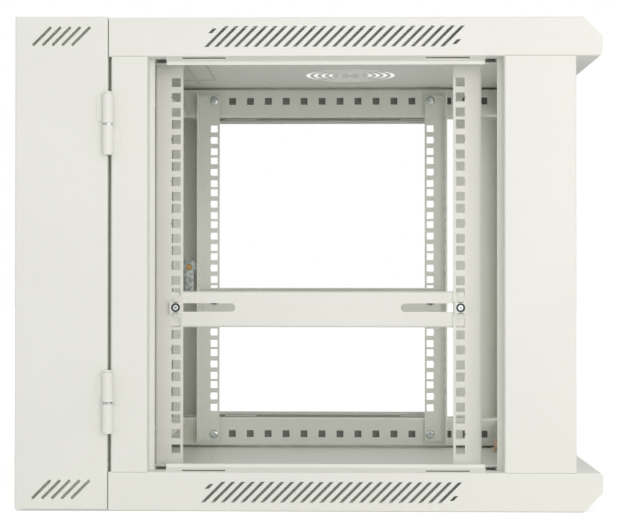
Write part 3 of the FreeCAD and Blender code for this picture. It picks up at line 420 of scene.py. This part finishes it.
def painted_nut_shade(mix):
    """1 where shade is painted: inside the well and on the two shadow lines at the ears."""
    across, up = from_nut(mix)
    well = distance(across, up).fall(*well_rim)
    ear_shadows = band(up.size() - ear_shadow_offset, ear_half_height) * band(across, ear_half_width)
    return mix.maths("MAXIMUM", well, ear_shadows)


# painted shade: a dark well and two shadow lines on each nut
nut_coat = powder_coat("coated_cage_nut", None, painted_nut_shade, painted_well_shade_tone)
print("cross bar nuts at x", round(nut_middle - nut_aside, 4), round(nut_middle + nut_aside, 4))

# %% [markdown]
# The end of each cross bar screw shows as a bright ring round a dull core. A turned bevel would
# catch the light like that only from one side, so the ring is a painted highlight in the zinc's
# colour, with painted shade in the core and round the rim, by the same distance from the axis.

# %% Painted highlight and shade on the cross bar screws' ends
core_edge, ring_edge = (0.00128, 0.00176), (0.0031, 0.003472)
end_scale = 700.0
end_satin, end_dulls = 0.3, 0.2
end_depth = 0.03


def painted_light_screw_end(name, bright, dull, dark):
    """Zinc: painted shade at rim and core and a painted highlight ring, by the axis distance."""
    mix = Recipe(name, Metallic=1.0)
    away = distance(*from_nut(mix))
    patch = mix.noise(end_scale, detail=3.0, roughness=0.6)
    core = mix.colours(away.step(*core_edge), dull, bright)
    colour = mix.colours(away.step(*ring_edge), core, dark)
    return mix.feed(Base_Color=colour, Roughness=end_satin + patch * end_dulls,
                    Normal=mix.bump(patch * end_depth))


# painted highlight in bright, painted shade in dull and dark
painted_light_ring_zinc = painted_light_screw_end("screw_end_zinc", bright=(0.80, 0.84, 0.86), dull=(0.24, 0.27, 0.28),
                      dark=(0.07, 0.09, 0.09))
print("screw ends: ring of radius", ring_edge[0], "m")

# %% [markdown]
# ## Brass and copper
#
# The lock's cam screw is plain brass, turned on a lathe and left bare, so it keeps a warm yellow
# with darker, browner patches where air and fingers have reached it. The earth stud and its nut are
# copper plated, because copper keeps a good contact: a dull salmon rather than yellow. Each could
# have a recipe of its own, but on parts this small both differ from zinc only in tone and gloss.

# %% Brass and copper
brass = plated("turned_brass", first=(0.78, 0.56, 0.22), second=(0.62, 0.38, 0.15),
               smooth=0.24, rough=0.42)
copper = plated("copper_plate", first=(0.66, 0.42, 0.31), second=(0.74, 0.55, 0.45),
                smooth=0.38, rough=0.55)
print("brass:", len(brass.node_tree.nodes), "nodes, copper:", len(copper.node_tree.nodes), "nodes")

# %% [markdown]
# ## Who wears what
#
# The record says which slot each node's finish comes from, so most nodes need no list. The front
# posts, the roof, the depth bars and the small parts above have a finish of their own, for the
# details that it carries.

# %% Give every node its finish
slot_finish = {"powder_coat": coat, "zinc_plate": zinc, "brass": brass}
own_finish = {"front_post_near": post_coat, "front_post_far": post_coat, "top_tray": roof_coat,
              "cross_bar_cage_nuts": nut_coat, "cross_bar_screws": painted_light_ring_zinc,
              "earth_stud": copper, "earth_nut": copper}
own_finish.update({name: bar_coat for name in nodes if name.startswith("depth_bar")})
count = {}
for part in frame["record"]["subparts"]:
    name, slot = part["node"], part["material_slot"]
    finish = own_finish.get(name, slot_finish[slot])
    for place in nodes[name].material_slots:
        place.material = finish
    count[finish.name] = count.get(finish.name, 0) + 1
print("finishes:", count)

# %% [markdown]
# ## White sky
#
# The photograph is on pure white, with even light from all round. A ring of lamps could give that,
# and a white sky does it by itself: it lights every face about equally, and the inside of the
# cabinet darkens by its own depth. The background's white comes from what the camera sees, not from
# stronger light on the cabinet: rays from the camera, and those that mirrors and glass send on, see
# the sky at exactly 1.

# %% White sky
sky_level = 0.78
sky_tint = (0.985, 0.99, 1.0)
white = (1.0, 1.0, 1.0)

world = bpy.data.worlds.new("white_studio")
bpy.context.scene.world = world
world.use_nodes = True
world.node_tree.nodes.clear()
sky = Net(world.node_tree)
lit = sky.node("ShaderNodeBackground", {}, {"Color": (*sky_tint, 1.0), "Strength": sky_level})
seen = sky.node("ShaderNodeBackground", {}, {"Color": (*white, 1.0), "Strength": 1.0})
looked_at = sky.maths("MAXIMUM", sky.ray("Camera"), sky.ray("Glossy"))
looked_at = sky.maths("MAXIMUM", looked_at, sky.ray("Transmission"))
blend = sky.node("ShaderNodeMixShader", {}, {0: looked_at, 1: lit, 2: seen})
out = sky.tree.nodes.new("ShaderNodeOutputWorld")
sky.tree.links.new(blend.socket, out.inputs["Surface"])
print("sky level on surfaces:", sky_level)

# %% [markdown]
# ## Pale floor
#
# The cabinet stands on a plain floor that fades into the white round it. A curved backdrop would do
# it too, but a flat floor under a white sky has no edge to hide. Its colour alone would look grey,
# so it gets a lift for camera rays only, and it keeps the cabinet's shadow. It is a grid of places:
# u and v go from -1 to 1 in even steps, and each place is the floor's half side times u and v.

# %% Pale floor
floor_half = 9.0
floor_steps = 9
floor_tone = (0.86, 0.86, 0.86)
floor_lift = (0.42, 0.42, 0.42)
black = (0.0, 0.0, 0.0)


def grid_mesh(name, x, y, z):
    """A mesh from three equal arrays of places: neighbours in the grid make one face each."""
    rows, columns = x.shape
    number = np.arange(rows * columns).reshape(rows, columns)
    corners = [number[:-1, :-1], number[:-1, 1:], number[1:, 1:], number[1:, :-1]]
    faces = np.stack(corners, -1).reshape(-1, 4)
    mesh = bpy.data.meshes.new(name)
    mesh.from_pydata(np.stack([x, y, z], -1).reshape(-1, 3).tolist(), [], faces.tolist())
    mesh.update()
    return mesh


steps = np.linspace(-1, 1, floor_steps)
u, v = np.meshgrid(steps, steps)
floor = bpy.data.objects.new("floor", grid_mesh("floor", u * floor_half, v * floor_half, u * 0.0))
bpy.context.scene.collection.objects.link(floor)
ground = Recipe("pale_floor", Base_Color=(*floor_tone, 1.0), Roughness=0.8,
                Specular_IOR_Level=0.1, Emission_Strength=1.0)
glow = ground.colours(ground.ray("Camera"), black, floor_lift)
floor.data.materials.append(ground.feed(Emission_Color=glow))
print("floor:", 2 * floor_half, "m square")

# %% [markdown]
# ## Soft lamp
#
# The faces towards the camera are a little brighter in the photograph than a sky alone makes them,
# more so at the right. A small strong lamp would blow out the screws, so one wide, weak soft box
# stands in front, to the right of the camera.

# %% Soft lamp
lamp_place = Vector((0.75, -2.5, 0.35))
lamp_aim = Vector((0, 0, 0.25))
lamp_side = 1.4
lamp_watts = 22.5
lamp_tint = (1.0, 0.93, 0.935)

soft_box = bpy.data.lights.new("front_soft_box", "AREA")
soft_box.shape = "RECTANGLE"
soft_box.size = lamp_side
soft_box.size_y = lamp_side
soft_box.energy = lamp_watts
soft_box.color = lamp_tint
lamp = bpy.data.objects.new("front_soft_box", soft_box)
bpy.context.scene.collection.objects.link(lamp)
lamp_turn = (lamp_aim - lamp_place).to_track_quat("-Z", "Y").to_matrix().to_4x4()
lamp.matrix_world = Matrix.Translation(lamp_place) @ lamp_turn
bpy.context.scene.view_settings.view_transform = "Standard"
print("lamp:", lamp.name, lamp_watts, "W")

# %% [markdown]
